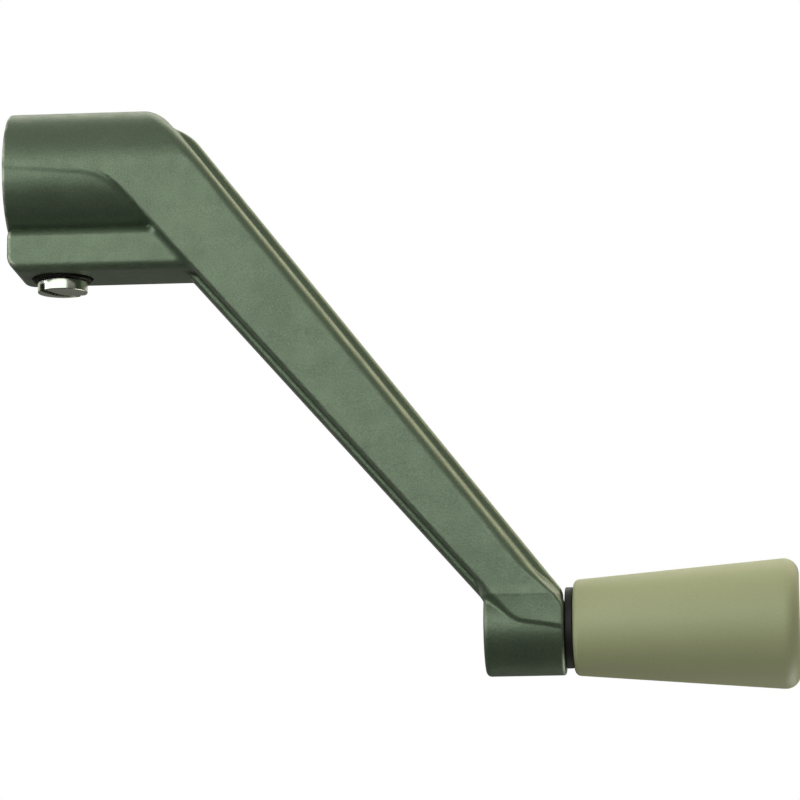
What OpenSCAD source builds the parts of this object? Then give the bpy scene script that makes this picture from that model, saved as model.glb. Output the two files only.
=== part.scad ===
// Window crank handle: a cast crank arm with a splined hub, a clamp screw
// and a free-turning tapered knob on a steel spindle.
// Frame: the origin is the centre of the socket's mouth, +X runs along the
// socket's axis into the hub, +Z is up, and the arm goes down to the knob.

/* [Hub] */
// Outside diameter of the hub
hub_d = 19.2; // [18:0.1:20]
// Step from the flush upper half of the hub down to its lower half
hub_step = 0.2; // [0.1:0.05:0.4]
// Width of the chamfer round the hub's mouth
hub_chamfer = 0.6; // [0.3:0.1:1]

/* [Splined socket] */
// Diameter inside the tips of the socket's teeth
spline_tip_d = 8.6; // [7.6:0.1:9]
// Diameter at the bottom of the grooves between the teeth
spline_root_d = 9.7; // [9.2:0.1:10.2]
// Number of teeth in the socket
spline_teeth = 24; // [18:1:30]
// Depth of the blind socket
socket_depth = 17; // [14:0.5:18]

/* [Screw lobe] */
// Width of the lobe that holds the clamp screw
lobe_w = 13; // [12:0.5:14]
// Distance from the hub's axis to the lobe's underside
lobe_drop = 14.5; // [13.5:0.1:15.5]
// Radius along the lobe's lower edges
lobe_edge_r = 1.5; // [1:0.1:3]
// Radius of the lobe's lower corner at the mouth
lobe_corner_r = 2.6; // [1:0.1:4]
// Distance from the hub's axis to the shoulders at the lobe's top
lobe_top = 8.4; // [7.5:0.1:9]
// Radius along the lobe's shoulders
lobe_top_r = 1.2; // [0.5:0.1:1.8]

/* [Arm] */
// Drop from the hub's axis to the knob's axis
arm_drop = 66.3; // [60:0.1:72]
// Angle of the arm's upper edge below the horizontal
upper_angle = 52; // [51:0.1:53]
// Angle of the arm's lower edge below the horizontal
lower_angle = 48.7; // [48:0.1:50]
// Where the arm's upper edge would cross the level of the hub's axis
upper_x = 30.75; // [29.5:0.05:32]
// Where the arm's lower edge would cross the level of the hub's axis
lower_x = 12.85; // [11.5:0.05:14]
// Thickness of the flange round the middle of the arm
flange_t = 6.4; // [5:0.1:8]
// Width of the flange that shows beyond the panel's upper edge
ledge_upper = 1.4; // [0.8:0.1:2]
// Width of the flange that shows beyond the panel's lower edge
ledge_lower = 1.0; // [0.6:0.1:2]
// Radius where the panel's lower edge turns along the hub
hub_turn_r = 9; // [6:0.5:12]
// Radius where the panel's lower edge turns along the boss
boss_turn_r = 4; // [2:0.5:8]
// How far the panel stands out of the boss at its lower end
panel_step = 0.25; // [0.1:0.05:0.4]

/* [Knob boss] */
// Outside diameter of the boss
boss_d = 13.3; // [12:0.1:13.4]
// Start of the boss along X
boss_x = 67.7; // [66:0.1:69]
// Length of the boss
boss_len = 11.2; // [10:0.1:13]

/* [Knob] */
// Length of the knob
knob_len = 31.5; // [28:0.1:36]
// Diameter of the knob's small end
knob_small_d = 13.4; // [12.8:0.1:15]
// Diameter of the knob's large end
knob_large_d = 19; // [17:0.1:20]
// Wall thickness of the knob's shell
knob_wall = 2; // [1.5:0.1:2.5]
// Radius of the knob's outer edge
knob_edge_r = 2.1; // [1:0.1:2.8]
// Diameter of the cap that closes the knob
cap_d = 12.6; // [11:0.1:13]

/* [Spindle and washers] */
// Diameter of the spindle's shoulder, which the knob turns on
spindle_d = 6.4; // [5.5:0.1:7]
// Diameter of the spindle's tail, which is staked in the boss
tail_d = 5; // [4:0.1:5.4]
// Outside diameter of the thrust washer
thrust_d = 11.4; // [10.5:0.1:12]
// Thickness of the thrust washer
thrust_t = 1.1; // [0.8:0.1:1.4]

/* [Clamp screw] */
// Diameter of the screw's head
head_d = 7.15; // [6.5:0.05:7.6]
// Height of the screw's head up to its domed end
head_h = 1.6; // [1.4:0.1:2.2]
// Outside diameter of the thread
thread_d = 4.16; // [3.8:0.02:4.4]
// Distance between two threads
thread_pitch = 0.794; // [0.7:0.001:1]
// Distance of the screw's axis from the hub's mouth
screw_x = 7.5; // [7:0.1:9]
// Outside diameter of the washer under the head
screw_washer_d = 8.3; // [8:0.1:8.6]

/* [Hidden] */

$fn = 96;
OVER = 1;              // how far a cutter runs past the face it opens
REACH = 40;            // longer than any depth, for prisms that are trimmed
RUN_FIT = 0.05;        // radial clearance of a turning fit
END_GAP = 0.05;        // gap between faces that turn on each other
SCREW_FIT = 0.06;      // radial clearance of the thread in its hole

hub_r = hub_d / 2;
hub_low_r = hub_r - hub_step;
boss_r = boss_d / 2;
boss_end = boss_x + boss_len;
spline_tip_r = spline_tip_d / 2;
spline_root_r = spline_root_d / 2;

// Screw: the washer sits in a shallow counterbore, proud of the lobe.
washer_proud = 0.45;
washer_t = 1;
counterbore_d = screw_washer_d + 0.5;
washer_top = -lobe_drop - washer_proud + washer_t;
head_top = washer_top - washer_t;
screw_tip = -spline_root_r - 0.1;
thread_r = thread_d / 2;
thread_depth = 0.6 * thread_pitch;
head_dome = 0.4;
slot_w = 1.2;
slot_depth = 1.4;
slot_turn = 44;

// Knob: stations along X from the boss to the cap.
thrust_x = boss_end + END_GAP;
knob_x = thrust_x + thrust_t + END_GAP;
knob_end = knob_x + knob_len;
knob_small_r = knob_small_d / 2;
knob_large_r = knob_large_d / 2;
knob_small_edge_r = 0.9;
knob_floor = 3.5;
sleeve_wall = 1.8;
sleeve_len = 12.5;
spindle_r = spindle_d / 2;
tail_r = tail_d / 2;
sleeve_r = spindle_r + RUN_FIT + sleeve_wall;
sleeve_end = knob_x + knob_floor + sleeve_len;
inner_washer_t = 0.8;
inner_washer_r = 5;
inner_washer_x = sleeve_end + END_GAP;
spindle_head_x = inner_washer_x + inner_washer_t + END_GAP;
spindle_head_t = 1.8;
spindle_head_r = 4.4;
stake_r = tail_r + 0.9;
stake_depth = 0.9;
stake_button = 0.2;
stake_bevel = 0.6;
rib_t = 1.4;
rib_count = 4;
rib_short = 2;         // the ribs stop this far before the sleeve's end
cap_r = cap_d / 2;
cap_t = 1.8;
cap_sink = 0.35;
cap_seat = 0.8;

// ---- outlines ----

// A unit vector from a to b
function toward(a, b) = (b - a) / norm(b - a);

// Points of the arc that rounds the corner b between a and c with radius r
function corner(a, b, c, r, steps = 8) =
    r == 0 ? [b] :
    let (u = toward(b, a), v = toward(b, c),
         half = acos(u * v) / 2,
         centre = b + toward([0, 0], u + v) * r / sin(half),
         first = b + u * r / tan(half) - centre,
         turn = 180 - 2 * half,
         way = sign(u[1] * v[0] - u[0] * v[1]))
    [for (i = [0:steps])
        let (t = way * turn * i / steps)
        centre + [first[0] * cos(t) - first[1] * sin(t),
                  first[0] * sin(t) + first[1] * cos(t)]];

// An outline from [x, y, corner radius] points
function rounded(points) =
    let (n = len(points), at = function (i) [points[i % n][0], points[i % n][1]])
    [for (i = [0:n - 1]) each corner(at(i + n - 1), at(i), at(i + 1), points[i][2])];

// X on the arm's upper or lower edge at height z, moved in by a ledge
function upper_at(z, ledge = 0) = upper_x - z / tan(upper_angle) - ledge / sin(upper_angle);
function lower_at(z, ledge = 0) = lower_x - z / tan(lower_angle) + ledge / sin(lower_angle);

// Height of the arm's upper edge at station x
function upper_z_at(x, ledge = 0) = (upper_at(0, ledge) - x) * tan(upper_angle);

// Stands an outline drawn in X and Z up, as a prism of thickness t about Y = 0
module upright(t) {
    rotate([90, 0, 0])
        linear_extrude(t, center = true)
            children();
}

// Lays an outline drawn in Y and Z along X
module along_x(from, to) {
    translate([from, 0, 0])
        rotate([90, 0, 90])
            linear_extrude(to - from)
                children();
}

// A cylinder along X at the hub's axis, or dropped below it
module rod(from, to, r, drop = 0, r2 = undef) {
    translate([from, 0, -drop])
        rotate([0, 90, 0])
            cylinder(h = to - from, r1 = r, r2 = is_undef(r2) ? r : r2);
}

// A body turned about an X axis, from an outline of [radius, x] points
module turned_x(drop) {
    translate([0, 0, -drop])
        rotate([0, 90, 0])
            rotate_extrude()
                children();
}

// ---- crank arm ----

// A circle at the hub and one round the boss, with the flat band that joins them
module belt() {
    low_r = boss_r + panel_step;
    sink = 0.01;             // keeps the band's corners inside the circles
    tilt = asin((hub_r - low_r) / arm_drop);
    corners = [for (end = [[0, hub_r - sink], [arm_drop, low_r - sink]])
        [end[1] * cos(tilt), -end[0] - end[1] * sin(tilt)]];
    circle(hub_r);
    translate([0, -arm_drop])
        circle(low_r);
    polygon([
        corners[0], corners[1],
        [-corners[1][0], corners[1][1]], [-corners[0][0], corners[0][1]]
    ]);
}

// The raised panel seen from the side, with the hub's upper half
module panel_outline() {
    face = 0.35;
    hub_crease_z = -0.3;     // height of the crease at the hub's mouth
    hub_fall = 0.07;         // how steeply it falls
    boss_crease_z = -0.7 - arm_drop;
    boss_fall = 0.16;
    // where the creases along the hub and the boss meet the panel's lower edge
    slope = tan(lower_angle);
    edge_top = lower_at(0, ledge_lower) * slope;
    hub_meet_x = (edge_top - hub_crease_z) / (slope - hub_fall);
    boss_meet_x = (edge_top - boss_crease_z - boss_fall * boss_end) / (slope - boss_fall);
    polygon(rounded([
        [face, hub_r + OVER, 0],
        [face, hub_crease_z, 0],
        [hub_meet_x, hub_crease_z - hub_fall * hub_meet_x, hub_turn_r],
        [boss_meet_x, boss_crease_z + boss_fall * (boss_end - boss_meet_x), boss_turn_r],
        [boss_end, boss_crease_z, 0],
        [boss_end, upper_z_at(boss_end, ledge_upper), 0],
        [upper_at(hub_r + OVER, ledge_upper), hub_r + OVER, 0]
    ]));
}

// The flange round the middle, which the lobe and the boss join
module flange_outline() {
    inside_x = 12;        // a start inside the hub
    hump_z = 6.8;         // where the flange leaves the hub
    hump_r = 7;
    boss_z = -arm_drop + 4;
    end_x = boss_end - 0.4;
    end_r = 0.6;
    polygon(rounded([
        [inside_x, hump_z, 0],
        [inside_x, -lobe_drop, 0],
        [lower_at(-lobe_drop), -lobe_drop, 0],
        [lower_at(boss_z), boss_z, 0],
        [boss_x + 3, -arm_drop, 0],
        [end_x, -arm_drop, 0],
        [end_x, upper_z_at(end_x), end_r],
        [upper_at(hump_z), hump_z, hump_r]
    ]));
}

// The block under the hub that the clamp screw goes through
module lobe() {
    face = 0.4;
    half = lobe_w / 2;
    intersection() {
        along_x(face, upper_x)
            polygon(rounded([
                [-half, -lobe_drop, lobe_edge_r],
                [half, -lobe_drop, lobe_edge_r],
                [half, -lobe_top, lobe_top_r],
                [-half, -lobe_top, lobe_top_r]
            ]));
        upright(REACH)
            polygon(rounded([
                [face, 0, 0],
                [face, -lobe_drop, lobe_corner_r],
                [lower_at(-lobe_drop), -lobe_drop, 0],
                [lower_at(-lobe_drop / 2), -lobe_drop / 2, 0],
                [upper_x, 0, 0]
            ]));
    }
}

module hub() {
    rod(0, hub_chamfer, hub_low_r - hub_chamfer, r2 = hub_low_r);
    intersection() {
        rod(hub_chamfer, upper_x, hub_low_r);
        upright(REACH)
            polygon([
                [0, hub_r], [upper_at(hub_r, ledge_upper), hub_r],
                [upper_at(0, ledge_upper), 0], [lower_at(-hub_r), -hub_r], [0, -hub_r]
            ]);
    }
}

// The boss for the knob's spindle, cut off level with the panel's upper edge
module boss() {
    floor_z = -arm_drop - boss_r;
    intersection() {
        rod(boss_x, boss_end, boss_r, arm_drop);
        upright(REACH)
            polygon([
                [boss_x, floor_z], [boss_end, floor_z],
                [boss_end, upper_z_at(boss_end, ledge_upper)],
                [boss_x, upper_z_at(boss_x, ledge_upper)]
            ]);
    }
}

module arm_body() {
    intersection() {
        along_x(0, boss_end)
            belt();
        upright(REACH)
            panel_outline();
    }
    upright(flange_t)
        flange_outline();
    hub();
    lobe();
    boss();
}

// The socket: a bore to the tooth tips, with a groove between every two teeth
module socket() {
    tip_share = 0.4;      // share of the circle that the teeth's tips keep
    root_share = 0.25;    // a groove's width at its bottom, to that at its mouth
    inside = 0.05;        // how far a groove starts inside the bore
    lead_in = 0.4;        // depth of the countersink at the socket's mouth
    step = 360 / spline_teeth;
    half_gap = step * (1 - tip_share) / 2;
    wide = spline_tip_r * sin(half_gap);
    narrow = root_share * wide;
    rod(-OVER, socket_depth, spline_tip_r);
    for (i = [0:spline_teeth - 1])
        rotate([(i + 0.5) * step, 0, 0])
            along_x(-OVER, socket_depth)
                polygon([
                    [-wide, spline_tip_r - inside],
                    [wide, spline_tip_r - inside],
                    [narrow, spline_root_r],
                    [-narrow, spline_root_r]
                ]);
    rod(-OVER, lead_in, spline_root_r + lead_in + OVER, r2 = spline_root_r);
}

module crank_arm() {
    color([0.42, 0.45, 0.36])
        difference() {
            arm_body();
            socket();
            translate([screw_x, 0, -lobe_drop - OVER])
                cylinder(h = lobe_drop + OVER, r = thread_r + SCREW_FIT);
            translate([screw_x, 0, -lobe_drop - OVER])
                cylinder(h = washer_top + lobe_drop + OVER, d = counterbore_d);
            rod(boss_x - OVER, boss_end + OVER, tail_r, arm_drop);
            rod(boss_x - OVER, boss_x + stake_depth, stake_r + OVER, arm_drop, r2 = tail_r);
        }
}

// ---- clamp screw ----

module clamp_screw() {
    threads = floor((head_top - screw_tip) / -thread_pitch);
    core_r = thread_r - thread_depth;
    face_z = head_top - head_h;
    // the domed end is part of a sphere
    dome_r = (pow(head_d / 2, 2) + pow(head_dome, 2)) / (2 * head_dome);
    dome_angle = asin(head_d / 2 / dome_r);
    dome_steps = 8;
    color("silver")
        translate([screw_x, 0, 0])
            difference() {
                rotate_extrude()
                    polygon([
                        [0, screw_tip],
                        [core_r, screw_tip],
                        for (i = [0:threads - 1])
                            each [
                                [thread_r, screw_tip - (i + 0.4) * thread_pitch],
                                [thread_r, screw_tip - (i + 0.6) * thread_pitch],
                                [core_r, screw_tip - (i + 1) * thread_pitch]
                            ],
                        [core_r, head_top],
                        [head_d / 2, head_top],
                        for (i = [0:dome_steps])
                            let (a = dome_angle * (1 - i / dome_steps))
                            [dome_r * sin(a), face_z - head_dome + dome_r * (1 - cos(a))]
                    ]);
                rotate([0, 0, slot_turn])
                    translate([-head_d, -slot_w / 2, face_z - head_dome - OVER])
                        cube([2 * head_d, slot_w, slot_depth + OVER]);
            }
}

module screw_washer() {
    color([0.1, 0.1, 0.1])
        translate([screw_x, 0, washer_top - washer_t])
            difference() {
                cylinder(h = washer_t, d = screw_washer_d);
                translate([0, 0, -OVER])
                    cylinder(h = washer_t + 2 * OVER, r = thread_r + RUN_FIT);
            }
}

// ---- knob and spindle ----

// A flat ring about the knob's axis
module ring(from, thickness, outer, inner) {
    difference() {
        rod(from, from + thickness, outer, arm_drop);
        rod(from - OVER, from + thickness + OVER, inner, arm_drop);
    }
}

module knob_spindle() {
    color("gainsboro") {
        rod(boss_x - stake_button, boss_x, stake_r - stake_bevel, arm_drop, r2 = stake_r);
        rod(boss_x, boss_x + stake_depth, stake_r, arm_drop, r2 = tail_r);
        rod(boss_x + stake_depth, boss_end, tail_r, arm_drop);
        rod(boss_end, spindle_head_x, spindle_r, arm_drop);
        rod(spindle_head_x, spindle_head_x + spindle_head_t, spindle_head_r, arm_drop);
    }
}

module thrust_washer() {
    color([0.12, 0.12, 0.12])
        ring(thrust_x, thrust_t, thrust_d / 2, spindle_r + RUN_FIT);
}

module spindle_washer() {
    color("darkgray")
        ring(inner_washer_x, inner_washer_t, inner_washer_r, spindle_r + RUN_FIT);
}

// The knob's outside radius at station x
function knob_r_at(x) =
    knob_small_r + (knob_large_r - knob_small_r) * (x - knob_x) / knob_len;

module knob_body() {
    mouth_x = knob_end - cap_sink - cap_t;
    seat_x = mouth_x - cap_seat;
    seat_r = cap_r - cap_seat;
    inner_x = knob_x + knob_floor;
    inner_r = knob_r_at(inner_x) - knob_wall;
    root = 0.2;           // how far a rib starts inside the sleeve
    lap = 0.4;            // how far it runs into the shell
    color([0.6, 0.6, 0.46]) {
        difference() {
            turned_x(arm_drop)
                polygon(rounded([
                    [0, knob_x, 0],
                    [knob_small_r, knob_x, knob_small_edge_r],
                    [knob_large_r, knob_end, knob_edge_r],
                    [0, knob_end, 0]
                ]));
            rod(inner_x, seat_x, inner_r, arm_drop, r2 = seat_r);
            rod(seat_x, mouth_x, seat_r, arm_drop);
            rod(mouth_x, knob_end + OVER, cap_r, arm_drop);
            rod(knob_x - OVER, inner_x + OVER, spindle_r + RUN_FIT, arm_drop);
        }
        ring(inner_x, sleeve_end - inner_x, sleeve_r, spindle_r + RUN_FIT);
        translate([0, 0, -arm_drop])
            for (i = [0:rib_count - 1])
                rotate([45 + i * 360 / rib_count, 0, 0])
                    translate([inner_x, -rib_t / 2, sleeve_r - root])
                        cube([sleeve_len - rib_short, rib_t, inner_r - sleeve_r + root + lap]);
    }
}

module knob_end_cap() {
    color([0.58, 0.57, 0.43])
        rod(knob_end - cap_sink - cap_t, knob_end - cap_sink, cap_r, arm_drop);
}

crank_arm();
clamp_screw();
screw_washer();
knob_spindle();
thrust_washer();
knob_body();
spindle_washer();
knob_end_cap();
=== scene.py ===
"""Looks for a cast window crank handle: its painted arm, clamp screw, washers, spindle and knob.

Sizes are in millimetres until a mesh is made. The axes and the origin are the CAD model's own.
"""
import math
from itertools import product

import bmesh
import bpy
import numpy as np
from mathutils import Matrix, Vector

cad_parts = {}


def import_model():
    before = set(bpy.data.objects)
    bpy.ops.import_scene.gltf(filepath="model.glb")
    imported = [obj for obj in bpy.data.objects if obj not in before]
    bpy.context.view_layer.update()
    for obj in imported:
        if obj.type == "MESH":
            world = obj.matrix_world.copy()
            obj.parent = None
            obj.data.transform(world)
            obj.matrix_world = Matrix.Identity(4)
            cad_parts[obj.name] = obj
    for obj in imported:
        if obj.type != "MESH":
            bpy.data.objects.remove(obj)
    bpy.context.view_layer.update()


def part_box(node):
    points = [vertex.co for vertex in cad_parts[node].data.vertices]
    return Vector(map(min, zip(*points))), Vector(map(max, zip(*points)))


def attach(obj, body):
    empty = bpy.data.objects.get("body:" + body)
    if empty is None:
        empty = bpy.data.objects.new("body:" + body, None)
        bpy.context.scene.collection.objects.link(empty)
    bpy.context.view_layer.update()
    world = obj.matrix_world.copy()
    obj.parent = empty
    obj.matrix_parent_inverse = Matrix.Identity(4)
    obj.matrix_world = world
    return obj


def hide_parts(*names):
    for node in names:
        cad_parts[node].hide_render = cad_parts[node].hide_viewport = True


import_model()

MM = 0.001
X, Z = 0, 2


# ---- sizes, from the frame where it holds them ----

def box(node):
    """Lowest and highest corner of a CAD node, in millimetres."""
    low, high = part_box(node)
    return np.array(low) / MM, np.array(high) / MM


ARM, KNOB, CAP = box("crank_arm"), box("knob_body"), box("knob_end_cap")
SPINDLE, THRUST, INNER = box("knob_spindle"), box("thrust_washer"), box("spindle_washer")
SCREW, SCREW_RING = box("clamp_screw"), box("screw_washer")

# the hub, and the boss that holds the knob
HUB_R = ARM[1][Z]
HUB_LOW_R = HUB_R - 0.12
HUB_EDGE_R = 0.6
KNOB_Z = (KNOB[0][Z] + KNOB[1][Z]) / 2
KNOB_AT = (0, 0, KNOB_Z)
BOSS_R = KNOB_Z - ARM[0][Z]
BOSS_X = 67.7
BOSS_END = ARM[1][X]
PANEL_LOW_R = BOSS_R + 0.25

# the splined socket
SOCKET_TIP_R, SOCKET_ROOT_R = 4.3, 4.85
TEETH = 24
SOCKET_DEPTH = 17.0

# the lobe under the hub, which holds the clamp screw
LOBE_DROP = 14.5
LOBE_HALF, LOBE_TOP, LOBE_MOUTH = 6.5, 8.4, 0.4
LOBE_EDGE_R, LOBE_TOP_R, LOBE_CORNER_R = 1.5, 1.2, 2.6

# the arm's upper and lower edges, which cross the hub's axis at these stations, and its ledges
UPPER_ANGLE, LOWER_ANGLE = math.radians(52), math.radians(48.7)
UPPER_X, LOWER_X = 30.75, 12.85
LEDGE_UPPER, LEDGE_LOWER = 1.4, 1.0
LEDGE_SLOPE = 0.5
FLANGE_HALF = 3.2

# the clamp screw
SCREW_AT = ((SCREW[0][X] + SCREW[1][X]) / 2, 0, 0)
HEAD_R = (SCREW[1][X] - SCREW[0][X]) / 2
HEAD_DOME = 0.4
HEAD_FACE = SCREW[0][Z] + HEAD_DOME
HEAD_TOP = SCREW_RING[0][Z]
SLOT_TURN = math.radians(44)
SLOT_W, SLOT_DEPTH = 1.2, 1.4
THREAD_R, PITCH = 2.08, 0.794
THREAD_CLEARANCE = 0.06
COUNTERBORE_R = 4.4

# the spindle, and the bore of what turns on it
BORE_R = 3.25
TAIL_R = 2.5
STAKE_R, STAKE_DEPTH = 3.4, 0.9


# ---- signed distances, negative inside ----

def round_union(a, b, r):
    """Both shapes, with a fillet of radius r in the corner between them."""
    gap = np.hypot(np.maximum(r - a, 0), np.maximum(r - b, 0))
    return np.maximum(r, np.minimum(a, b)) - gap


def round_cut(a, b, r):
    """What both shapes share, with its edge rounded to radius r."""
    over = np.hypot(np.maximum(r + a, 0), np.maximum(r + b, 0))
    return np.minimum(-r, np.maximum(a, b)) + over


def rounded(corners, steps=12):
    """The points of an outline given as (u, v, corner radius)."""
    points = []
    for i, (u, v, r) in enumerate(corners):
        here = np.array([u, v], float)
        if not r:
            points.append(here)
            continue
        back = np.array(corners[i - 1][:2]) - here
        on = np.array(corners[(i + 1) % len(corners)][:2]) - here
        back /= np.linalg.norm(back)
        on /= np.linalg.norm(on)
        half = math.acos(back @ on) / 2
        centre = here + (back + on) / np.linalg.norm(back + on) * r / math.sin(half)
        first = here + back * r / math.tan(half) - centre
        way = np.sign(back[1] * on[0] - back[0] * on[1])
        for turn in np.linspace(0, math.pi - 2 * half, steps) * way:
            c, s = math.cos(turn), math.sin(turn)
            points.append(centre + [first[0] * c - first[1] * s, first[0] * s + first[1] * c])
    return np.array(points)


def polygon_distance(u, v, points):
    """Signed distance from (u, v) to a closed outline."""
    u, v = np.broadcast_arrays(u, v)
    nearest = np.full(u.shape, np.inf)
    inside = np.zeros(u.shape, bool)
    for a, b in zip(points, np.roll(points, -1, axis=0)):
        e = b - a
        du, dv = u - a[0], v - a[1]
        t = np.clip((du * e[0] + dv * e[1]) / (e @ e), 0, 1)
        nearest = np.minimum(nearest, np.hypot(du - t * e[0], dv - t * e[1]))
        if e[1]:
            inside ^= ((a[1] > v) != (b[1] > v)) & (du < e[0] * dv / e[1])
    return np.where(inside, -nearest, nearest)


# ---- the casting ----

LEAN = (HUB_R - PANEL_LOW_R) / -KNOB_Z


def belt_distance(side, z):
    """Seen along the hub: a circle at the hub and one round the boss, with the band that touches both."""
    level = math.sqrt(1 - LEAN * LEAN)
    along = -z * level - side * LEAN
    flat = side * level - z * LEAN - HUB_R
    top = np.hypot(side, z) - HUB_R
    bottom = np.hypot(side, z - KNOB_Z) - PANEL_LOW_R
    return np.where(along < 0, top, np.where(along > -KNOB_Z * level, bottom, flat))


def half_chord(z, r, centre=0.0):
    """Half the width of a circle at height z."""
    return np.sqrt(np.maximum(r * r - (z - centre) ** 2, 0))


def upper_at(z, ledge=0.0):
    """Where the arm's upper edge is at height z, moved in by a ledge."""
    return UPPER_X - z / math.tan(UPPER_ANGLE) - ledge / math.sin(UPPER_ANGLE)


def lower_at(z, ledge=0.0):
    """Where the arm's lower edge is at height z, moved in by a ledge."""
    return LOWER_X - z / math.tan(LOWER_ANGLE) + ledge / math.sin(LOWER_ANGLE)


def upper_z_at(x, ledge=0.0):
    """Height of the arm's upper edge at station x."""
    return (upper_at(0, ledge) - x) * math.tan(UPPER_ANGLE)


def panel_outline():
    """The raised panel seen from the side. It runs past the hub and the boss, which are cut later."""
    past = 5.0
    hub_crease, hub_fall = 0.5, 0.085
    boss_crease, boss_fall = KNOB_Z - 0.7, 0.16
    slope = math.tan(LOWER_ANGLE)
    edge_top = lower_at(0, LEDGE_LOWER) * slope
    hub_x = (edge_top - hub_crease) / (slope - hub_fall)
    boss_x = (edge_top - boss_crease - boss_fall * BOSS_END) / (slope - boss_fall)
    return rounded([
        (-past, HUB_R + past, 0),
        (-past, hub_crease + hub_fall * past, 0),
        (hub_x, hub_crease - hub_fall * hub_x, 9),
        (boss_x, boss_crease + boss_fall * (BOSS_END - boss_x), 4),
        (BOSS_END + past, boss_crease - boss_fall * past, 0),
        (BOSS_END + past, upper_z_at(BOSS_END + past, LEDGE_UPPER), 0),
        (upper_at(HUB_R + past, LEDGE_UPPER), HUB_R + past, 0),
    ])


def flange_outline():
    """The flange round the middle of the arm, seen from the side."""
    end_x, inside_x = BOSS_END - 0.4, 12
    hump_z, boss_z = 6.8, KNOB_Z + 4
    return rounded([
        (inside_x, hump_z, 0),
        (inside_x, 1 - LOBE_DROP, 0),
        (lower_at(1 - LOBE_DROP), 1 - LOBE_DROP, 0),
        (lower_at(boss_z), boss_z, 0),
        (BOSS_X + 3, KNOB_Z, 0),
        (end_x, KNOB_Z, 0),
        (end_x, upper_z_at(end_x), 0.6),
        (upper_at(hump_z), hump_z, 7),
    ])


PANEL, FLANGE = panel_outline(), flange_outline()


def ease(value, start, end):
    """0 up to start, 1 from end on, and a smooth rise between."""
    t = np.clip((value - start) / (end - start), 0, 1)
    return t * t * (3 - 2 * t)


def arm_distance(x, y, z):
    """Signed distance to the casting, before its holes are cut."""
    side = np.abs(y)
    above = (z - upper_z_at(x, LEDGE_UPPER)) * math.cos(UPPER_ANGLE)
    clear_of_boss = ease(z - KNOB_Z, 3.5, 9)

    # how far the panel stands out of the hub, the lobe and the boss at each height
    belt_half = HUB_R + LEAN * np.minimum(z, 0)
    lobe_half = np.where((z > -LOBE_DROP) & (z < -LOBE_TOP), LOBE_HALF, 0)
    hub_step = belt_half - np.maximum(half_chord(np.minimum(z, 0), HUB_LOW_R), lobe_half)
    boss_step = belt_half - half_chord(z, BOSS_R, KNOB_Z)

    # the panel's upper edge is rounder than its lower one, except where it runs out at the boss
    upper_share = ease(above, -3.6, -1.9) * clear_of_boss
    edge_r = 0.35 + 0.15 * ease(hub_step, 0.3, 1.5) + 1.3 * upper_share
    within = -polygon_distance(x, z, PANEL)
    panel = round_cut(belt_distance(side, z), -within, edge_r)
    panel = round_cut(panel, 0.2 - x, 1.1)

    # its upper ledge slopes away from the panel. The 0.9 keeps the slope's gradient near 1
    fall = LEDGE_SLOPE * np.clip(above, 0, LEDGE_UPPER) * clear_of_boss
    flange = round_cut(polygon_distance(x, z, FLANGE), 0.9 * (side - FLANGE_HALF + fall), 0.55)

    # the lobe is a block with shoulders. Its mouth stands back a little from the hub's
    floor_depth = LOBE_DROP + HUB_EDGE_R * (1 - math.sqrt(0.5))
    floor_gap = -floor_depth - z
    block = round_cut(round_cut(side - LOBE_HALF, floor_gap, LOBE_EDGE_R), z + LOBE_TOP, LOBE_TOP_R)
    block = round_cut(block, round_cut(LOBE_MOUTH - x, floor_gap, LOBE_CORNER_R), HUB_EDGE_R)

    # the hub swells to its full radius at the panel's crease, just short of the panel's own face
    barrel_r = HUB_LOW_R + (HUB_R - HUB_LOW_R - 0.01) * ease(within, -0.9, 0)
    hub = round_union(round_cut(np.hypot(y, z) - barrel_r, -x, HUB_EDGE_R), block, 0.3)
    hub = round_cut(hub, np.maximum(above + 3, x - 30), 0.5)

    boss = round_cut(np.hypot(y, z - KNOB_Z) - BOSS_R, BOSS_X - x, 0.7)
    boss = round_cut(boss, above, 0.5)

    # a fillet has to be smaller than the step it fills
    body = round_union(hub, panel, np.clip(0.85 * hub_step - 0.08, 0.02, 1.2))
    body = round_union(body, boss, np.clip(1.3 * boss_step, 0.15, 2.4))
    body = round_union(body, flange, 0.45)
    return round_cut(body, np.maximum(-x, x - BOSS_END), 0.4)


def gradient(distance, points, reach):
    """The direction away from the surface at each point, and the distance's Laplacian."""
    here = distance(*points.T)
    slope = np.empty_like(points)
    bend = np.zeros(len(points))
    for axis in range(3):
        move = np.zeros(3)
        move[axis] = reach
        ahead, behind = distance(*(points + move).T), distance(*(points - move).T)
        slope[:, axis] = (ahead - behind) / (2 * reach)
        bend += (ahead + behind - 2 * here) / reach**2
    return slope, bend, here


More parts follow.
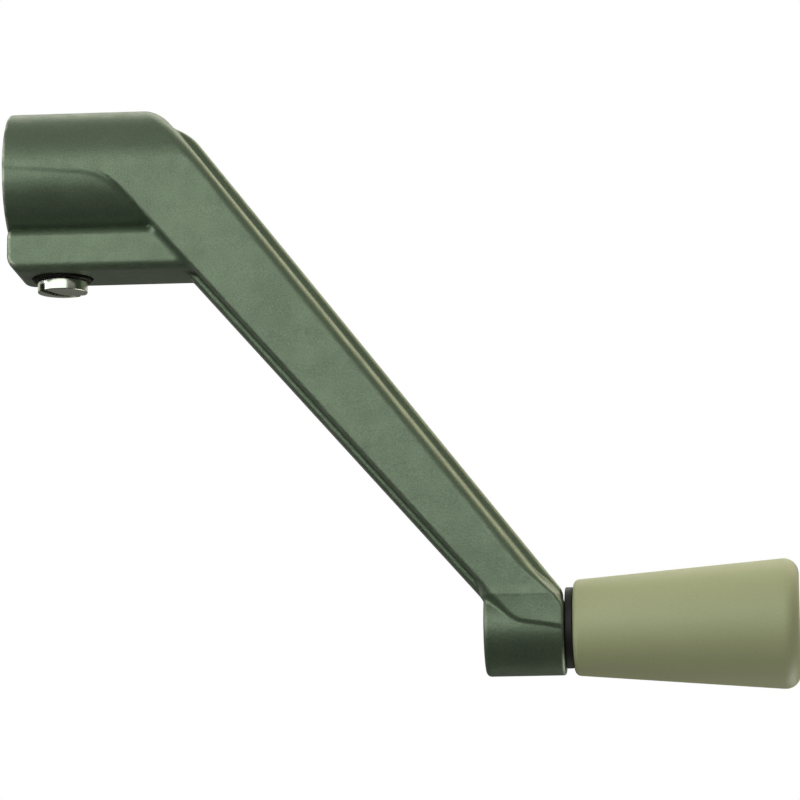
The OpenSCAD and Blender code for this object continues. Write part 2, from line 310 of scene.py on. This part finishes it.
def surface_net(distance, low, high, cell):
    """The points and quads of the surface where a signed distance is zero."""
    axes = [np.arange(low[i], high[i] + cell, cell) for i in range(3)]
    grid = distance(axes[0][:, None, None], axes[1][None, :, None], axes[2][None, None, :])
    inside = grid < 0
    size = [n - 1 for n in grid.shape]
    offsets = list(product((0, 1), repeat=3))
    filled = sum(inside[i:i + size[0], j:j + size[1], k:k + size[2]].astype(np.int8)
                 for i, j, k in offsets)
    active = (filled > 0) & (filled < 8)
    cells = np.argwhere(active)
    number = np.full(active.shape, -1, np.int32)
    number[active] = np.arange(len(cells))

    # each cell's point is the mean of the places where the surface crosses its edges
    total, crossings = np.zeros((len(cells), 3)), np.zeros(len(cells))
    value = {o: grid[tuple((cells + o).T)] for o in offsets}
    for a, b in product(offsets, repeat=2):
        if a < b and sum(a) + 1 == sum(b) and sum(p != q for p, q in zip(a, b)) == 1:
            cut = (value[a] < 0) != (value[b] < 0)
            share = value[a][cut] / (value[a][cut] - value[b][cut])
            total[cut] += np.array(a) + share[:, None] * (np.array(b) - np.array(a))
            crossings[cut] += 1
    points = np.array(low) + (cells + total / crossings[:, None]) * cell

    quads = []
    for axis in range(3):
        u, v = (axis + 1) % 3, (axis + 2) % 3
        start = [slice(1, -1)] * 3
        start[axis] = slice(0, -1)
        ahead = list(start)
        ahead[axis] = slice(1, None)
        first, second = inside[tuple(start)], inside[tuple(ahead)]
        corner = np.argwhere(first != second)
        outward = first[tuple(corner.T)]
        low_u, low_v = np.eye(3, dtype=int)[u], np.eye(3, dtype=int)[v]
        base = corner + [0 if i == axis else 1 for i in range(3)]
        ring = [base - low_u - low_v, base - low_v, base, base - low_u]
        quad = np.stack([number[tuple(c.T)] for c in ring], axis=1)
        quad[~outward] = quad[~outward][:, ::-1]
        quads.append(quad)
    return points, np.concatenate(quads)


# ---- meshes ----

def new_object(name, points, faces, *materials):
    """A mesh object from points in millimetres. Its first material is the one its faces wear."""
    mesh = bpy.data.meshes.new(name)
    mesh.from_pydata((np.asarray(points) * MM).tolist(), [], [list(f) for f in faces])
    for material in materials:
        mesh.materials.append(material)
    piece = bpy.data.objects.new(name, mesh)
    bpy.context.scene.collection.objects.link(piece)
    return piece


def smooth(piece, sharp_over=35):
    """Smooth shading, with edges left sharp where faces meet at more than an angle in degrees."""
    piece.data.shade_smooth()
    piece.data.set_sharp_from_angle(angle=math.radians(sharp_over))
    return piece


def apply_modifiers(piece):
    """Gives a piece the mesh that its modifiers make."""
    made = bpy.data.meshes.new_from_object(piece.evaluated_get(bpy.context.evaluated_depsgraph_get()))
    piece.modifiers.clear()
    piece.data = made
    return piece


def cut(piece, cutter):
    """Takes the cutter out of a piece. The cut faces keep the cutter's material."""
    modifier = piece.modifiers.new("cut", "BOOLEAN")
    modifier.object = cutter
    modifier.operation = "DIFFERENCE"
    modifier.solver = "EXACT"
    modifier.material_mode = "TRANSFER"
    apply_modifiers(piece)
    bpy.data.objects.remove(cutter)
    return piece


def between_rings(rings, count, wrap=False):
    """Quads that join each ring of points to the next, and the last to the first if they wrap."""
    return [(i * count + j, i * count + (j + 1) % count,
             (i + 1) % rings * count + (j + 1) % count, (i + 1) % rings * count + j)
            for i in range(rings if wrap else rings - 1) for j in range(count)]


def close_up(piece, merge=False):
    """Turns every face outwards, once the points that meet on the axis are merged."""
    mesh = bmesh.new()
    mesh.from_mesh(piece.data)
    if merge:
        bmesh.ops.remove_doubles(mesh, verts=mesh.verts, dist=1e-7)
        bmesh.ops.dissolve_degenerate(mesh, edges=mesh.edges, dist=1e-8)
    bmesh.ops.recalc_face_normals(mesh, faces=mesh.faces)
    mesh.to_mesh(piece.data)
    mesh.free()
    return piece


def turned(name, section, axis, at, *materials, segments=96):
    """A body turned about an axis through a point, from a section of (along, radius, corner radius)."""
    outline = rounded(section, steps=7)
    count = len(outline)
    points = []
    for i in range(segments):
        a = 2 * math.pi * i / segments
        across = outline[:, 1] * math.cos(a), outline[:, 1] * math.sin(a)
        ring = (outline[:, 0], *across) if axis == X else (*across, outline[:, 0])
        points.append(np.stack(ring, axis=1) + at)
    faces = between_rings(segments, count, wrap=True)
    return smooth(close_up(new_object(name, np.concatenate(points), faces, *materials), merge=True))


def lofted(name, rings, *materials):
    """A closed body through rings of points, each with the same count, capped at both ends."""
    count = len(rings[0])
    faces = between_rings(len(rings), count)
    faces.append(range(count)[::-1])
    faces.append(range((len(rings) - 1) * count, len(rings) * count))
    return close_up(new_object(name, np.concatenate(rings), faces, *materials))


# ---- materials ----

class Look:
    """A material with a Principled shader, and short calls for its node tree."""

    def __init__(self, name, **sockets):
        self.material = bpy.data.materials.new(name)
        self.material.use_nodes = True
        self.nodes = self.material.node_tree.nodes
        self.links = self.material.node_tree.links
        self.shader = self.nodes["Principled BSDF"]
        for socket, value in sockets.items():
            self.shader.inputs[socket.replace("_", " ").title().replace("Ior", "IOR")].default_value = value
        self.place = self.nodes.new("ShaderNodeTexCoord").outputs["Object"]

    def noise(self, scale, detail=3.0, rough=0.55, stretch=None):
        """Noise in the object's own space, which is in metres."""
        node = self.nodes.new("ShaderNodeTexNoise")
        node.inputs["Scale"].default_value = scale
        node.inputs["Detail"].default_value = detail
        node.inputs["Roughness"].default_value = rough
        place = self.place
        if stretch:
            mapping = self.nodes.new("ShaderNodeMapping")
            mapping.inputs["Scale"].default_value = stretch
            self.links.new(place, mapping.inputs["Vector"])
            place = mapping.outputs["Vector"]
        self.links.new(place, node.inputs["Vector"])
        return node.outputs["Fac"]

    def ramp(self, source, low, high, start=0.3, end=0.7):
        """A colour or a grey that goes from low to high as the source goes from start to end."""
        node = self.nodes.new("ShaderNodeValToRGB")
        for element, at, value in zip(node.color_ramp.elements, (start, end), (low, high)):
            element.position = at
            element.color = (value,) * 3 + (1,) if isinstance(value, float) else (*value, 1)
        self.links.new(source, node.inputs["Fac"])
        return node.outputs["Color"]

    def mix(self, share, a, b, way="MIX"):
        """Two colours blended. The share and the colours are values or sockets."""
        node = self.nodes.new("ShaderNodeMix")
        node.data_type = "RGBA"
        node.blend_type = way
        factor, colour_a, colour_b, result = 0, 6, 7, 2  # a mix node's sockets for colours
        for index, value in ((factor, share), (colour_a, a), (colour_b, b)):
            if isinstance(value, (float, tuple)):
                node.inputs[index].default_value = value if index == factor else (*value, 1)
            else:
                self.links.new(value, node.inputs[index])
        return node.outputs[result]

    def attribute(self, name):
        """A number stored on the mesh."""
        node = self.nodes.new("ShaderNodeAttribute")
        node.attribute_name = name
        return node.outputs["Fac"]

    def set(self, **sources):
        """Links sources to the shader's sockets of those names."""
        for socket, source in sources.items():
            self.links.new(source, self.shader.inputs[socket.replace("_", " ").title()])
        return self

    def bump(self, height, strength, distance):
        """Fine relief, on top of any relief set before."""
        node = self.nodes.new("ShaderNodeBump")
        node.inputs["Strength"].default_value = strength
        node.inputs["Distance"].default_value = distance
        self.links.new(height, node.inputs["Height"])
        previous = self.shader.inputs["Normal"].links
        if previous:
            self.links.new(previous[0].from_socket, node.inputs["Normal"])
        self.links.new(node.outputs["Normal"], self.shader.inputs["Normal"])
        return self


def paint():
    """Satin grey-green metallic paint over a slightly grainy casting, lighter on its edges: rubbed through
    there, and at the hub's mouth also a painted highlight.
    """
    look = Look("cast_paint", metallic=0.60)
    cloudy = look.ramp(look.noise(90, 4), (0.132, 0.176, 0.116), (0.152, 0.200, 0.132))
    speckled = look.mix(0.5, cloudy, look.ramp(look.noise(5200, 2), 0.34, 0.68), "OVERLAY")
    # convex edges turn lighter: worn paint, and at the hub's mouth a painted highlight
    rubbed_and_highlit = look.mix(look.attribute("edge_wear_and_highlight"), (0.0, 0.0, 0.0), (1.0, 1.0, 1.0))
    patchy = look.mix(1.0, rubbed_and_highlit, look.ramp(look.noise(520, 3), 0.15, 1.0, 0.42, 0.62), "MULTIPLY")
    look.set(base_color=look.mix(patchy, speckled, (0.62, 0.62, 0.52)),
             roughness=look.ramp(look.noise(400, 3), 0.36, 0.46))
    return look.bump(look.noise(2600, 3), 0.12, 0.0002).bump(look.noise(300, 2), 0.10, 0.0006).material


def bare_zinc():
    """The broached socket: bare cast zinc with marks along the cut."""
    look = Look("bare_zinc", metallic=1.0)
    look.set(base_color=look.ramp(look.noise(300, 4), (0.34, 0.34, 0.33), (0.50, 0.50, 0.48)),
             roughness=look.ramp(look.noise(900, 2, stretch=(0.05, 1, 1)), 0.35, 0.55))
    return look.bump(look.noise(3000, 2, stretch=(0.04, 1, 1)), 0.2, 0.0001).material


def moulded(name, low, high, rough=(0.46, 0.56)):
    """Satin moulded plastic with a faint flow and a fine texture."""
    look = Look(name, specular_ior_level=0.45)
    flow = look.ramp(look.noise(60, 3, stretch=(0.35, 1, 1)), low, high)
    grainy = look.mix(0.25, flow, look.ramp(look.noise(6000, 2), 0.40, 0.60), "OVERLAY")
    look.set(base_color=grainy, roughness=look.ramp(look.noise(700, 3), *rough))
    return look.bump(look.noise(3500, 3), 0.10, 0.00015).material


def steel(name, low, high, rough, stretch, scale=1500):
    """Turned or plated steel, with fine marks along one direction."""
    look = Look(name, metallic=1.0)
    look.set(base_color=look.ramp(look.noise(250, 4), low, high),
             roughness=look.ramp(look.noise(scale, 2, stretch=stretch), *rough))
    return look.bump(look.noise(scale * 2, 2, stretch=stretch), 0.12, 0.00008).material


PAINT, BARE = paint(), bare_zinc()
KNOB_PLASTIC = moulded("knob_plastic", (0.445, 0.466, 0.257), (0.482, 0.505, 0.283))
CAP_PLASTIC = moulded("cap_plastic", (0.365, 0.380, 0.200), (0.400, 0.415, 0.220), (0.5, 0.6))
NYLON = moulded("black_nylon", (0.012, 0.012, 0.012), (0.022, 0.021, 0.020), (0.5, 0.65))
BLACK_OXIDE = steel("black_oxide", (0.015, 0.015, 0.014), (0.035, 0.033, 0.030), (0.5, 0.7), (1, 1, 1))
ZINC_PLATE = steel("zinc_plate", (0.62, 0.66, 0.56), (0.78, 0.80, 0.70), (0.16, 0.30), (1, 1, 0.1))
TURNED_STEEL = steel("turned_steel", (0.48, 0.48, 0.46), (0.62, 0.62, 0.60), (0.25, 0.4), (8, 1, 1))
PLAIN_STEEL = steel("plain_steel", (0.42, 0.42, 0.41), (0.55, 0.55, 0.54), (0.35, 0.5), (1, 1, 1))


# ---- pieces ----

def socket_cutter():
    """The splined socket: grooves between the teeth, a countersunk mouth and a drilled end."""
    tip_share, root_share = 0.4, 0.25
    step = 2 * math.pi / TEETH
    wide = (1 - tip_share) * step / 2
    narrow = wide * root_share * SOCKET_TIP_R / SOCKET_ROOT_R
    angles, radii = [], []
    for i in range(TEETH):
        middle = (i + 0.5) * step
        for offset, r in ((-wide, SOCKET_TIP_R), (-narrow, SOCKET_ROOT_R),
                          (narrow, SOCKET_ROOT_R), (wide, SOCKET_TIP_R)):
            angles.append(middle + offset)
            radii.append(r)
    angles, radii = np.array(angles), np.array(radii)
    lead_in = 0.4
    rings = []
    for x in (-1, lead_in, lead_in + SOCKET_ROOT_R - SOCKET_TIP_R, SOCKET_DEPTH):
        r = np.maximum(radii, SOCKET_ROOT_R + lead_in - x)
        rings.append(np.stack([np.full(len(r), x), -r * np.sin(angles), r * np.cos(angles)], axis=1))
    drill_point, point_share = 2.2, 0.02
    tip = rings[-1] * [1, point_share, point_share] + [drill_point, 0, 0]
    return lofted("socket_cutter", [*rings, tip], BARE)


def drill(arm):
    """Cuts the socket, the screw's counterbored hole and the countersunk hole for the spindle's tail."""
    over = 1
    cut(arm, socket_cutter())
    bore_r, counterbore_top = THREAD_R + THREAD_CLEARANCE, SCREW_RING[1][Z]
    cut(arm, turned("screw_hole", [
        (-LOBE_DROP - 2 * over, 0, 0), (-LOBE_DROP - 2 * over, COUNTERBORE_R, 0),
        (counterbore_top, COUNTERBORE_R, 0), (counterbore_top, bore_r, 0),
        (-2, bore_r, 0), (-2, 0, 0),
    ], Z, SCREW_AT, PAINT))
    cut(arm, turned("boss_hole", [
        (BOSS_X - over, 0, 0), (BOSS_X - over, STAKE_R + over, 0), (BOSS_X + STAKE_DEPTH, TAIL_R, 0),
        (BOSS_END + over, TAIL_R, 0), (BOSS_END + over, 0, 0),
    ], X, KNOB_AT, BARE))


def finish_skin(mesh):
    """Gives the casting's skin the signed distance's own normals, and marks its convex edges as worn; near
    the hub's mouth this lighter edge colour is also a painted highlight.
    """
    normal_reach, wear_reach, skin = 0.03, 0.15, 0.02
    place = np.empty(len(mesh.vertices) * 3)
    mesh.vertices.foreach_get("co", place)
    place = place.reshape(-1, 3) / MM
    slope, _, here = gradient(arm_distance, place, normal_reach)
    _, bend, _ = gradient(arm_distance, place, wear_reach)
    slope /= np.linalg.norm(slope, axis=1)[:, None]

    corner_vertex = np.empty(len(mesh.loops), int)
    mesh.loops.foreach_get("vertex_index", corner_vertex)
    normals = np.empty(len(mesh.loops) * 3)
    mesh.corner_normals.foreach_get("vector", normals)
    normals = normals.reshape(-1, 3)
    on_skin = np.abs(here[corner_vertex]) < skin
    for face in mesh.polygons:
        corners = np.arange(face.loop_start, face.loop_start + face.loop_total)
        if on_skin[corners].all() and np.array(face.normal) @ slope[corner_vertex[corners[0]]] > 0.5:
            normals[corners] = slope[corner_vertex[corners]]
    mesh.normals_split_custom_set(normals.tolist())

    # the paint is lightened most at the hub's mouth: rubbed through, and a painted highlight on its rim
    wear = mesh.attributes.new("edge_wear_and_highlight", "FLOAT", "POINT")
    away_from_mouth = ease(place[:, X], 1.0, 2.0)
    rubbed_and_highlit = np.clip((bend - 0.9) / 1.6, 0, 0.8) * (1 - 0.85 * away_from_mouth)
    wear.data.foreach_set("value", rubbed_and_highlit.astype(np.float32))


def arm_casting():
    """The casting's skin is found on a grid, pushed onto the exact surface, thinned and drilled."""
    cell = 0.25
    margin = 3 * cell
    points, quads = surface_net(arm_distance, ARM[0] - margin, ARM[1] + margin, cell)
    for _ in range(4):
        slope, _, here = gradient(arm_distance, points, 0.02)
        push = here / np.maximum((slope**2).sum(axis=1), 0.25)
        points -= np.clip(push, -cell, cell)[:, None] * slope
    arm = new_object("arm_casting", points, quads, PAINT, BARE)

    reduce = arm.modifiers.new("reduce", "DECIMATE")
    reduce.ratio = 0.45
    apply_modifiers(arm)

    drill(arm)
    finish_skin(smooth(arm).data)
    return arm


def knob_shell():
    """The tapered knob. It is hollow, with a sleeve that turns on the spindle and a seat for the cap."""
    start, end, seat = KNOB[0][X], KNOB[1][X], CAP[0][X]
    small_r, large_r = 6.7, (KNOB[1][Z] - KNOB[0][Z]) / 2
    cap_r = (CAP[1][Z] - CAP[0][Z]) / 2
    wall, front_wall, seat_w, sleeve_len = 2, 3.5, 0.8, 12.5
    sleeve_r = BORE_R + 1.8
    inner = start + front_wall
    sleeve_end = inner + sleeve_len
    inner_r = small_r + (large_r - small_r) * front_wall / (end - start) - wall
    return turned("knob_shell", [
        (start, BORE_R, 0.3), (start, small_r, 0.9), (end, large_r, 2.1), (end, cap_r, 0.25),
        (seat, cap_r, 0), (seat, cap_r - seat_w, 0), (seat - seat_w, cap_r - seat_w, 0),
        (inner, inner_r, 0.8), (inner, sleeve_r, 0.4), (sleeve_end, sleeve_r, 0.3),
        (sleeve_end, BORE_R, 0.3),
    ], X, KNOB_AT, KNOB_PLASTIC)


def knob_cap():
    """The cap in the knob's end: a rim, a shallow dish and the small mark of the mould's gate."""
    r = (CAP[1][Z] - CAP[0][Z]) / 2 - 0.03
    low, high = CAP[0][X], CAP[1][X]
    dish, gate = high - 0.18, high - 0.05
    return turned("knob_cap", [
        (low, 0, 0), (low, r, 0.2), (high, r, 0.35), (high, r - 1.4, 0.3),
        (dish, r - 1.7, 0.3), (dish, 0.9, 0.1), (gate, 0.6, 0.1), (gate, 0, 0),
    ], X, KNOB_AT, CAP_PLASTIC)


def ring(name, low_high, axis, at, hole_r, edge_r, material):
    """A washer that fills a CAD washer's box, with rounded edges."""
    low, high = low_high
    outer = (high[1] - low[1]) / 2
    return turned(name, [
        (low[axis], hole_r, edge_r), (low[axis], outer, edge_r),
        (high[axis], outer, edge_r), (high[axis], hole_r, edge_r),
    ], axis, at, material)


def spindle_pin():
    """The shouldered spindle. Its tail is peened over on the boss's far side."""
    start, end = SPINDLE[0][X], SPINDLE[1][X]
    journal, head_r = BORE_R - 0.05, (SPINDLE[1][Z] - SPINDLE[0][Z]) / 2
    head_x = INNER[1][X] + 0.05
    return turned("spindle_pin", [
        (start, 0, 0), (start, STAKE_R - 0.5, 0.2), (BOSS_X, STAKE_R, 0.1),
        (BOSS_X + STAKE_DEPTH, TAIL_R, 0), (BOSS_END, TAIL_R, 0), (BOSS_END, journal, 0),
        (head_x, journal, 0), (head_x, head_r, 0.2), (end, head_r, 0.5), (end, 0, 0),
    ], X, KNOB_AT, TURNED_STEEL)


def clamp_screw():
    """Slotted fillister-head screw with a rolled right-hand thread."""
    dome_r = (HEAD_R**2 + HEAD_DOME**2) / (2 * HEAD_DOME)
    reach = math.asin(HEAD_R / dome_r)
    dome = [(HEAD_FACE - HEAD_DOME + dome_r * (1 - math.cos(a)), dome_r * math.sin(a), 0)
            for a in np.linspace(reach, 0, 7)[1:]]
    core_r = THREAD_R - 0.6 * PITCH
    bearing = HEAD_TOP - 0.02  # just clear of the washer
    neck = HEAD_TOP + 0.4
    head = turned("clamp_screw_piece", [
        (neck, 0, 0), (neck, core_r, 0), (bearing, core_r + 0.3, 0),
        (bearing, HEAD_R, 0.15), (HEAD_FACE, HEAD_R, 0.12), *dome,
    ], Z, SCREW_AT, ZINC_PLATE)
    slot_reach = 5  # past the head's rim
    slot = new_object("slot_cutter", np.array([
        (x * slot_reach, y * SLOT_W / 2, z) for x, y, z in product((-1, 1), (-1, 1), (
            HEAD_FACE - 2, HEAD_FACE - HEAD_DOME + SLOT_DEPTH))
    ]) @ np.array(Matrix.Rotation(SLOT_TURN, 3, "Z").transposed()) + SCREW_AT, [
        (0, 1, 3, 2), (4, 6, 7, 5), (0, 4, 5, 1), (2, 3, 7, 6), (0, 2, 6, 4), (1, 5, 7, 3),
    ], ZINC_PLATE)
    cut(head, slot)

    # the thread is one surface whose radius follows a helix
    around, per_pitch, tip = 48, 8, SCREW[1][Z]
    rows = int(round((tip - HEAD_TOP) / PITCH * per_pitch))
    points = []
    for j in range(rows + 1):
        z = HEAD_TOP + (tip - HEAD_TOP) * j / rows
        for i in range(around):
            a = 2 * math.pi * i / around
            phase = ((z - HEAD_TOP) / PITCH - i / around) % 1
            crest = min(1.0, 1.25 * (1 - abs(2 * phase - 1)))
            fade = min(1.0, (tip - z) / PITCH + 0.2, (z - HEAD_TOP) / PITCH * 2)
            r = core_r + (THREAD_R - core_r) * crest * fade
            points.append((r * math.cos(a), r * math.sin(a), z))
    rings = np.array(points).reshape(rows + 1, around, 3) + SCREW_AT
    thread = smooth(lofted("thread", list(rings), ZINC_PLATE), 60)
    smooth(head, 30)
    bpy.ops.object.select_all(action="DESELECT")
    for part in (head, thread):
        part.select_set(True)
    bpy.context.view_layer.objects.active = head
    bpy.ops.object.join()
    return head


# each piece, the body it rides on, the CAD node it replaces and its material slot
PIECES = [
    (arm_casting(), "arm", "crank_arm", "cast_arm"),
    (spindle_pin(), "arm", "knob_spindle", "spindle_steel"),
    (knob_shell(), "knob", "knob_body", "knob_plastic"),
    (knob_cap(), "knob", "knob_end_cap", "cap_plastic"),
    (ring("thrust_ring_piece", THRUST, X, KNOB_AT, BORE_R, 0.2, NYLON),
     "thrust_ring", "thrust_washer", "black_nylon"),
    (ring("inner_ring_piece", INNER, X, KNOB_AT, BORE_R, 0.12, PLAIN_STEEL),
     "inner_ring", "spindle_washer", "inner_washer_steel"),
    (ring("screw_ring_piece", SCREW_RING, Z, SCREW_AT, THREAD_R + 0.05, 0.18, BLACK_OXIDE),
     "screw_ring", "screw_washer", "black_oxide"),
    (clamp_screw(), "screw", "clamp_screw", "screw_steel"),
]
for piece, body, node, slot_name in PIECES:
    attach(piece, body)
    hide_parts(node)


# ---- camera, light and floor ----

VIEW_AZIMUTH, VIEW_ELEVATION, VIEW_ROLL = (math.radians(a) for a in (4.93, -10, -0.54))
VIEW_DISTANCE, VIEW_WIDTH = 0.650, 0.1134652
VIEW_TARGET = Vector((0.05587, 0, -0.03329))


def camera():
    """Looks a little upwards at the handle, from near its knob's end."""
    ahead = Vector((-math.sin(VIEW_AZIMUTH) * math.cos(VIEW_ELEVATION),
                    math.cos(VIEW_AZIMUTH) * math.cos(VIEW_ELEVATION), -math.sin(VIEW_ELEVATION)))
    right = Vector((math.cos(VIEW_AZIMUTH), math.sin(VIEW_AZIMUTH), 0))
    up = right.cross(ahead)
    rolled_right = right * math.cos(VIEW_ROLL) + up * math.sin(VIEW_ROLL)
    rolled_up = up * math.cos(VIEW_ROLL) - right * math.sin(VIEW_ROLL)
    data = bpy.data.cameras.new("camera")
    data.sensor_width = 36
    data.lens = data.sensor_width * VIEW_DISTANCE / VIEW_WIDTH
    data.clip_start = 0.05
    made = bpy.data.objects.new("camera", data)
    made.matrix_world = Matrix.Translation(VIEW_TARGET - ahead * VIEW_DISTANCE) @ Matrix(
        (rolled_right, rolled_up, -ahead)).transposed().to_4x4()
    bpy.context.scene.collection.objects.link(made)
    bpy.context.scene.camera = made


def area_light(name, azimuth, elevation, distance, size, power, colour):
    """A soft light that faces the middle of the handle from azimuth and elevation, in degrees."""
    a, e = math.radians(azimuth), math.radians(elevation)
    back = Vector((math.sin(a) * math.cos(e), -math.cos(a) * math.cos(e), math.sin(e)))
    data = bpy.data.lights.new(name, "AREA")
    data.shape = "RECTANGLE"
    data.size, data.size_y = size
    data.energy = power
    data.color = colour
    made = bpy.data.objects.new(name, data)
    made.matrix_world = Matrix.Translation(VIEW_TARGET + back * distance) @ (
        -back).to_track_quat("-Z", "Y").to_matrix().to_4x4()
    bpy.context.scene.collection.objects.link(made)


def world():
    """White where the camera sees it. As light it is bright behind the handle and dim elsewhere."""
    made = bpy.data.worlds.new("studio")
    made.use_nodes = True
    nodes, links = made.node_tree.nodes, made.node_tree.links
    nodes.clear()
    place = nodes.new("ShaderNodeTexCoord")
    parts = nodes.new("ShaderNodeSeparateXYZ")
    links.new(place.outputs["Generated"], parts.inputs[0])

    def rise(axis, start, end, low, high):
        node = nodes.new("ShaderNodeMapRange")
        node.interpolation_type = "SMOOTHSTEP"
        for name, value in (("From Min", start), ("From Max", end), ("To Min", low), ("To Max", high)):
            node.inputs[name].default_value = value
        links.new(parts.outputs[axis], node.inputs["Value"])
        return node.outputs["Result"]

    strength = nodes.new("ShaderNodeMath")
    strength.operation = "MULTIPLY"
    links.new(rise("Y", 0.25, 0.75, 0.36, 1.0), strength.inputs[0])
    links.new(rise("Z", -0.05, 0.35, 0.15, 1.0), strength.inputs[1])
    light, seen = nodes.new("ShaderNodeBackground"), nodes.new("ShaderNodeBackground")
    light.inputs["Color"].default_value = (1.0, 0.99, 0.92, 1)
    links.new(strength.outputs[0], light.inputs["Strength"])
    seen.inputs["Color"].default_value = (1, 1, 1, 1)
    mix, path = nodes.new("ShaderNodeMixShader"), nodes.new("ShaderNodeLightPath")
    links.new(path.outputs["Is Camera Ray"], mix.inputs["Fac"])
    links.new(light.outputs[0], mix.inputs[1])
    links.new(seen.outputs[0], mix.inputs[2])
    out = nodes.new("ShaderNodeOutputWorld")
    links.new(mix.outputs[0], out.inputs["Surface"])
    bpy.context.scene.world = made


def floor():
    """A pale floor well below the handle, which is held by its socket and doesn't rest on it."""
    look = Look("floor", roughness=0.9, emission_strength=0.55, emission_color=(1, 1, 1, 1))
    look.set(base_color=look.ramp(look.noise(3, 2), (0.84, 0.84, 0.83), (0.87, 0.87, 0.86)))
    half, drop = 12.0, -1.3
    corners = [(-half, -half), (half, -half), (half, half), (-half, half)]
    made = new_object("floor", [(x / MM, y / MM, drop / MM) for x, y in corners], [(0, 1, 2, 3)],
                      look.material)
    made.visible_diffuse = made.visible_glossy = False


# name, azimuth, elevation, distance, size, power and colour
LIGHTS = [
    ("key", -28, 12, 0.60, (1.50, 0.46), 3.4, (0.95, 1.0, 0.97)),
    ("top", 180, 52, 0.60, (0.60, 0.30), 0.55, (1.0, 0.98, 0.86)),
    ("bounce", 132, -46, 0.45, (0.30, 0.30), 0.8, (1.0, 1.0, 0.95)),
    ("left", -80, 12, 0.60, (0.15, 0.40), 0.5, (0.90, 1.0, 1.0)),
    ("warm", 122, 42, 0.50, (0.34, 0.28), 0.62, (1.0, 0.84, 0.58)),
]

camera()
world()
floor()
for light in LIGHTS:
    area_light(*light)
bpy.context.scene.view_settings.view_transform = "Standard"
